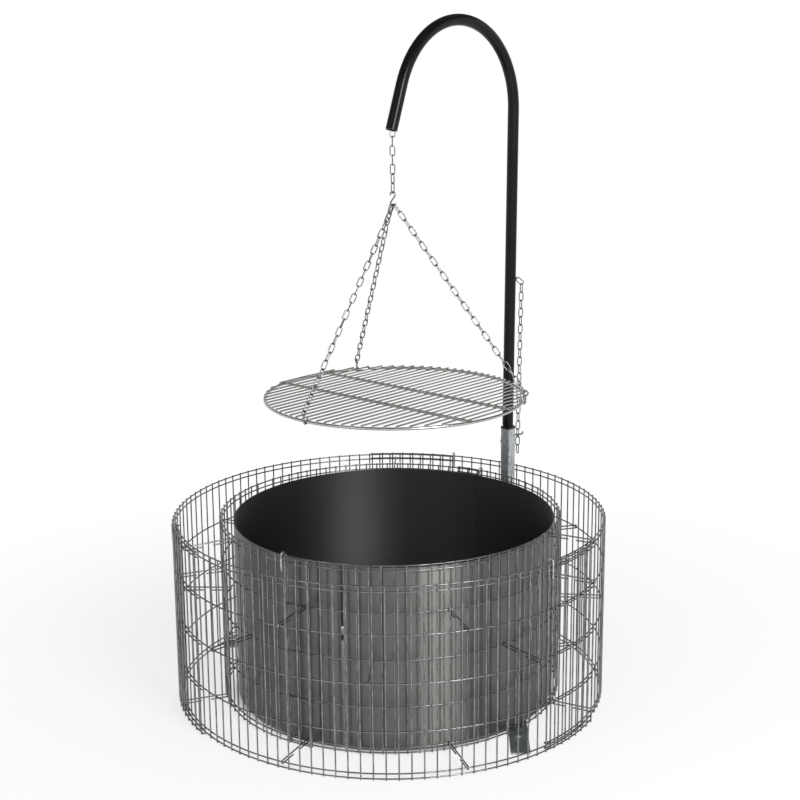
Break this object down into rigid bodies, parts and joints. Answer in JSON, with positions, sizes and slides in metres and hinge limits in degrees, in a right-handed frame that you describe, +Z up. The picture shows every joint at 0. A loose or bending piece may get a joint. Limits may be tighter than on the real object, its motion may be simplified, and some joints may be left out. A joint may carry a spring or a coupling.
{
  "type": "swing grill",
  "caption": "Fire ring of welded mesh with a sheet liner and a round grill grate that hangs on chains from a swivelling gooseneck post.",
  "frame": {"origin": "on the ground, at the centre of the outer mesh ring", "axes": "+Z up; the post stands in the +X +Y quarter, at 48 degrees from +X, and the picture looks along +Y"},
  "size_m": [0.9361, 0.9394, 1.449],
  "materials": {
    "mesh_wire": "dull galvanised wire",
    "zinc_rod": "bright zinc",
    "liner_sheet": "satin rolled sheet",
    "galvanised_bar": "hot-dip galvanised",
    "galvanised_post": "hot-dip galvanised with spangle",
    "turned_steel": "turned",
    "nylon": "moulded",
    "black_plastic": "moulded",
    "black_tube": "semi-gloss powder coat",
    "chain_zinc": "bright zinc",
    "grate_steel": "satin stainless rod"
  },
  "bodies": {
    "base": {"outer_panel_back": "mesh_wire", "outer_panel_left": "mesh_wire", "outer_panel_right": "mesh_wire", "inner_panel_left": "mesh_wire", "inner_panel_right": "mesh_wire", "outer_closing_pins": "zinc_rod", "inner_closing_pins": "zinc_rod", "spacers_bottom": "mesh_wire", "spacers_middle": "mesh_wire", "spacers_upper": "mesh_wire", "spacers_top": "mesh_wire", "liner_sheet_left": "liner_sheet", "liner_sheet_right": "liner_sheet", "foot_runner_front": "galvanised_bar", "foot_runner_side": "galvanised_bar", "foot_plate": "galvanised_bar", "foot_screws": "zinc_rod", "foot_nuts": "zinc_rod", "pivot_pin": "turned_steel", "thrust_washer": "nylon"},
    "swivel_arm": {"post_tube": "galvanised_post", "post_bush_lower": "nylon", "post_bush_upper": "nylon", "collar": "black_plastic", "lock_screw": "zinc_rod", "mast_spigot": "turned_steel", "gooseneck_tube": "black_tube", "chain_hook": "zinc_rod", "tube_chain": "chain_zinc", "tail_chain": "chain_zinc"},
    "tail_end": {"tail_end_links": "chain_zinc"},
    "top_link": {"hanging_first_link": "chain_zinc"},
    "hanging_chain": {"hanging_chain": "chain_zinc"},
    "hanging_grate": {"s_hook": "zinc_rod", "bridle_chain_right": "chain_zinc", "bridle_chain_back": "chain_zinc", "bridle_chain_front": "chain_zinc", "grate_hooks": "zinc_rod", "grate_rim": "grate_steel", "grate_rods": "grate_steel", "grate_cross_bars": "grate_steel"}
  },
  "joints": [
    {"name": "arm_swivel", "type": "hinge", "parent": "base", "child": "swivel_arm", "pos_m": [0.27669, 0.30729, 0.01], "axis": [0, 0, 1], "continuous": true},
    {"name": "chain_swing_back_and_forth", "type": "hinge", "parent": "swivel_arm", "child": "top_link", "pos_m": [0.01165, 0.01293, 1.20197], "axis": [0.9986, 0.0523, 0], "range_deg": [-15, 15]},
    {"name": "chain_swing_sideways", "type": "hinge", "parent": "top_link", "child": "hanging_chain", "pos_m": [0.01179, 0.01309, 1.1828], "axis": [-0.0523, 0.9986, 0], "range_deg": [-15, 15]},
    {"name": "grate_turn", "type": "hinge", "parent": "hanging_chain", "child": "hanging_grate", "pos_m": [0.01179, 0.01309, 1.08995], "axis": [0, 0, 1], "range_deg": [-25, 25]},
    {"name": "tail_end_swing", "type": "hinge", "parent": "swivel_arm", "child": "tail_end", "pos_m": [0.30014, 0.31724, 0.47762], "axis": [0.3907, -0.9205, 0], "range_deg": [-5, 45]}
  ]
}
